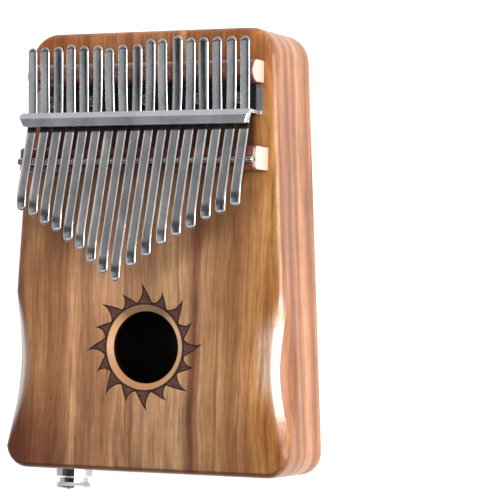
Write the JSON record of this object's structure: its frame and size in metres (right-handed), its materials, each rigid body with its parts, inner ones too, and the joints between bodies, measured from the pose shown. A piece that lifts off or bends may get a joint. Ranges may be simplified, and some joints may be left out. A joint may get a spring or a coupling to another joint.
{
  "type": "mbira",
  "caption": "Box-body thumb piano: a hollow wooden body with a round sound hole, bent steel tines clamped over two bridges by a comb bracket, and an end-pin pickup jack.",
  "frame": {"origin": "middle of the flat back face, on the back face", "axes": "+Z out of the front face towards the player, +Y along the body towards the tails of the tines, +X to the right seen from the front"},
  "size_m": [0.1328, 0.1941, 0.0632],
  "materials": {
    "front_wood": "satin lacquer",
    "side_wood": "gloss lacquer",
    "back_wood": "satin lacquer",
    "inner_wood": "bare",
    "bridge_wood": "gloss lacquer",
    "polished_steel": "polished",
    "satin_steel": "satin",
    "screw_steel": "polished",
    "tine_steel": "polished",
    "jack_chrome": "polished",
    "black_plastic": "matte",
    "contact_brass": "plain",
    "foam_pad": "matte",
    "piezo_white": "matte",
    "cable_black": "matte"
  },
  "bodies": {
    "body": {"soundboard": "front_wood", "body_frame": "side_wood", "back_plate": "back_wood", "tine_block": "inner_wood", "bridge_brace": "inner_wood", "front_bridge": "bridge_wood", "front_bridge_rod": "polished_steel", "rear_bridge": "bridge_wood", "clamp_bracket": "satin_steel", "bracket_screws": "screw_steel", "jack_barrel": "jack_chrome", "jack_strap_cap": "jack_chrome", "jack_outer_nut": "jack_chrome", "jack_washer": "jack_chrome", "jack_inner_nut": "jack_chrome", "jack_contact_housing": "black_plastic", "jack_solder_lugs": "contact_brass", "piezo_pad": "foam_pad", "piezo_disc": "contact_brass", "piezo_ceramic": "piezo_white", "pickup_cable": "cable_black", "cable_clip": "black_plastic", "tine_01_tail": "tine_steel", "tine_02_tail": "tine_steel", "tine_03_tail": "tine_steel", "tine_04_tail": "tine_steel", "tine_05_tail": "tine_steel", "tine_06_tail": "tine_steel", "tine_07_tail": "tine_steel", "tine_08_tail": "tine_steel", "tine_09_tail": "tine_steel", "tine_10_tail": "tine_steel", "tine_11_tail": "tine_steel", "tine_12_tail": "tine_steel", "tine_13_tail": "tine_steel", "tine_14_tail": "tine_steel", "tine_15_tail": "tine_steel", "tine_16_tail": "tine_steel", "tine_17_tail": "tine_steel"},
    "tine_01": {"tine_01_tongue": "tine_steel"},
    "tine_02": {"tine_02_tongue": "tine_steel"},
    "tine_03": {"tine_03_tongue": "tine_steel"},
    "tine_04": {"tine_04_tongue": "tine_steel"},
    "tine_05": {"tine_05_tongue": "tine_steel"},
    "tine_06": {"tine_06_tongue": "tine_steel"},
    "tine_07": {"tine_07_tongue": "tine_steel"},
    "tine_08": {"tine_08_tongue": "tine_steel"},
    "tine_09": {"tine_09_tongue": "tine_steel"},
    "tine_10": {"tine_10_tongue": "tine_steel"},
    "tine_11": {"tine_11_tongue": "tine_steel"},
    "tine_12": {"tine_12_tongue": "tine_steel"},
    "tine_13": {"tine_13_tongue": "tine_steel"},
    "tine_14": {"tine_14_tongue": "tine_steel"},
    "tine_15": {"tine_15_tongue": "tine_steel"},
    "tine_16": {"tine_16_tongue": "tine_steel"},
    "tine_17": {"tine_17_tongue": "tine_steel"},
    "tip_contact": {"jack_tip_spring": "contact_brass"}
  },
  "joints": [
    {"name": "tine_01_flex", "type": "hinge", "parent": "body", "child": "tine_01", "pos_m": [-0.0496, 0.0372, 0.05089], "axis": [1, 0, 0], "range_deg": [-3, 3], "stiffness_Nm_per_rad": 9.62},
    {"name": "tine_02_flex", "type": "hinge", "parent": "body", "child": "tine_02", "pos_m": [-0.0434, 0.0372, 0.05089], "axis": [1, 0, 0], "range_deg": [-3, 3], "stiffness_Nm_per_rad": 8.66},
    {"name": "tine_03_flex", "type": "hinge", "parent": "body", "child": "tine_03", "pos_m": [-0.0372, 0.0372, 0.05089], "axis": [1, 0, 0], "range_deg": [-3, 3], "stiffness_Nm_per_rad": 7.55},
    {"name": "tine_04_flex", "type": "hinge", "parent": "body", "child": "tine_04", "pos_m": [-0.031, 0.0372, 0.05089], "axis": [1, 0, 0], "range_deg": [-3, 3], "stiffness_Nm_per_rad": 6.83},
    {"name": "tine_05_flex", "type": "hinge", "parent": "body", "child": "tine_05", "pos_m": [-0.0248, 0.0372, 0.05089], "axis": [1, 0, 0], "range_deg": [-3, 3], "stiffness_Nm_per_rad": 5.98},
    {"name": "tine_06_flex", "type": "hinge", "parent": "body", "child": "tine_06", "pos_m": [-0.0186, 0.0372, 0.05089], "axis": [1, 0, 0], "range_deg": [-3, 3], "stiffness_Nm_per_rad": 5.43},
    {"name": "tine_07_flex", "type": "hinge", "parent": "body", "child": "tine_07", "pos_m": [-0.0124, 0.0372, 0.05089], "axis": [1, 0, 0], "range_deg": [-3, 3], "stiffness_Nm_per_rad": 4.77},
    {"name": "tine_08_flex", "type": "hinge", "parent": "body", "child": "tine_08", "pos_m": [-0.0062, 0.0372, 0.05089], "axis": [1, 0, 0], "range_deg": [-3, 3], "stiffness_Nm_per_rad": 4.34},
    {"name": "tine_09_flex", "type": "hinge", "parent": "body", "child": "tine_09", "pos_m": [0, 0.0372, 0.05089], "axis": [1, 0, 0], "range_deg": [-3, 3], "stiffness_Nm_per_rad": 4.07},
    {"name": "tine_10_flex", "type": "hinge", "parent": "body", "child": "tine_10", "pos_m": [0.0062, 0.0372, 0.05089], "axis": [1, 0, 0], "range_deg": [-3, 3], "stiffness_Nm_per_rad": 4.62},
    {"name": "tine_11_flex", "type": "hinge", "parent": "body", "child": "tine_11", "pos_m": [0.0124, 0.0372, 0.05089], "axis": [1, 0, 0], "range_deg": [-3, 3], "stiffness_Nm_per_rad": 5.09},
    {"name": "tine_12_flex", "type": "hinge", "parent": "body", "child": "tine_12", "pos_m": [0.0186, 0.0372, 0.05089], "axis": [1, 0, 0], "range_deg": [-3, 3], "stiffness_Nm_per_rad": 5.79},
    {"name": "tine_13_flex", "type": "hinge", "parent": "body", "child": "tine_13", "pos_m": [0.0248, 0.0372, 0.05089], "axis": [1, 0, 0], "range_deg": [-3, 3], "stiffness_Nm_per_rad": 6.39},
    {"name": "tine_14_flex", "type": "hinge", "parent": "body", "child": "tine_14", "pos_m": [0.031, 0.0372, 0.05089], "axis": [1, 0, 0], "range_deg": [-3, 3], "stiffness_Nm_per_rad": 7.06},
    {"name": "tine_15_flex", "type": "hinge", "parent": "body", "child": "tine_15", "pos_m": [0.0372, 0.0372, 0.05089], "axis": [1, 0, 0], "range_deg": [-3, 3], "stiffness_Nm_per_rad": 8.09},
    {"name": "tine_16_flex", "type": "hinge", "parent": "body", "child": "tine_16", "pos_m": [0.0434, 0.0372, 0.05089], "axis": [1, 0, 0], "range_deg": [-3, 3], "stiffness_Nm_per_rad": 8.97},
    {"name": "tine_17_flex", "type": "hinge", "parent": "body", "child": "tine_17", "pos_m": [0.0496, 0.0372, 0.05089], "axis": [1, 0, 0], "range_deg": [-3, 3], "stiffness_Nm_per_rad": 10.32},
    {"name": "tip_contact_flex", "type": "hinge", "parent": "body", "child": "tip_contact", "pos_m": [-0.0425, -0.0522, 0.0223], "axis": [-1, 0, 0], "range_deg": [0, 6], "stiffness_Nm_per_rad": 0.05}
  ]
}
